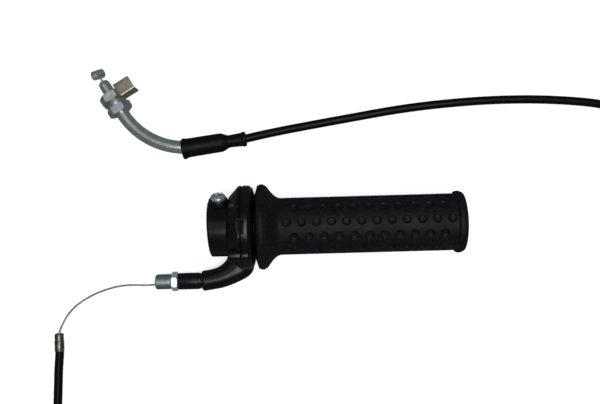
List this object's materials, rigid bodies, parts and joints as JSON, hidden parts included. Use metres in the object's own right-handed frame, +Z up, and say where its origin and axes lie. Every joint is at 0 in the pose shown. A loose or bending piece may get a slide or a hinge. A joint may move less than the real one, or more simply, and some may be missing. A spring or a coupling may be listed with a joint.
{
  "type": "twist throttle grip",
  "caption": "Right-hand moped twist throttle: dimpled rubber grip on a turning drum tube, clamp housing with cable horn, pull cable and bent carburettor elbow.",
  "frame": {"origin": "on the handlebar's axis, in the middle of the housing's clamp collar", "axes": "+X along the handlebar towards the grip's outer end, +Z up from the surface that the throttle lies on, +Y away from the cable horn"},
  "size_m": [0.3846, 0.2576, 0.0485],
  "materials": {
    "housing_plastic": "black moulded nylon with a soft gloss",
    "bush_plastic": "black, a little shinier than the horn",
    "tube_plastic": "black moulded",
    "grip_rubber": "black moulded rubber, satin",
    "boot_rubber": "black, matt",
    "cable_sheath": "black extruded sheath",
    "inner_wire": "stranded, grey",
    "plated_screw": "bright zinc plate",
    "plated_steel": "dull zinc plate",
    "bright_nut": "bright zinc plate",
    "knurled_steel": "grey, fine knurl",
    "ferrule_steel": "dull, slightly bronze",
    "elbow_steel": "bright zinc plate on bent tube",
    "passivated_steel": "yellow passivated zinc",
    "nipple_brass": "dull brass",
    "nipple_zinc": "dull cast zinc"
  },
  "bodies": {
    "housing": {"throttle_housing": "housing_plastic", "drum_cover": "housing_plastic", "cover_screws": "plated_screw", "clamp_screw": "plated_screw", "clamp_nut": "plated_steel", "adjuster_bush": "bush_plastic", "drum_wire": "inner_wire", "bare_wire": "inner_wire", "near_ferrule": "ferrule_steel", "outer_cable": "cable_sheath", "cable_boot": "boot_rubber", "far_ferrule": "ferrule_steel", "elbow_pipe": "elbow_steel", "pipe_nuts": "plated_steel", "spring_washer": "plated_steel", "flat_washer": "plated_steel", "stop_tab": "passivated_steel"},
    "twist_grip": {"throttle_tube": "tube_plastic", "grip_rubber": "grip_rubber", "drum_nipple": "nipple_brass"},
    "adjuster_slider": {"adjuster_locknut": "bright_nut"},
    "adjuster_screw": {"cable_adjuster": "knurled_steel"},
    "wire_end": {"end_wire": "inner_wire", "end_nipple": "nipple_zinc"}
  },
  "joints": [
    {"name": "grip_twist", "type": "hinge", "parent": "housing", "child": "twist_grip", "pos_m": [0, 0, 0], "axis": [1, 0, 0], "range_deg": [0, 75]},
    {"name": "adjuster_travel", "type": "slide", "parent": "housing", "child": "adjuster_slider", "axis": [-1, 0, 0], "range_m": [0, 0.005]},
    {"name": "adjuster_turn", "type": "hinge", "parent": "adjuster_slider", "child": "adjuster_screw", "pos_m": [-0.035, -0.031, -0.016], "axis": [-1, 0, 0], "range_deg": [0, 1800]},
    {"name": "wire_draw", "type": "slide", "parent": "housing", "child": "wire_end", "axis": [-0.5105, 0.8599, 0], "range_m": [-0.002, 0.018]}
  ],
  "couplings": [
    {"joint": "adjuster_turn", "follows": "adjuster_travel", "rad_per_m": 6283.2}
  ]
}
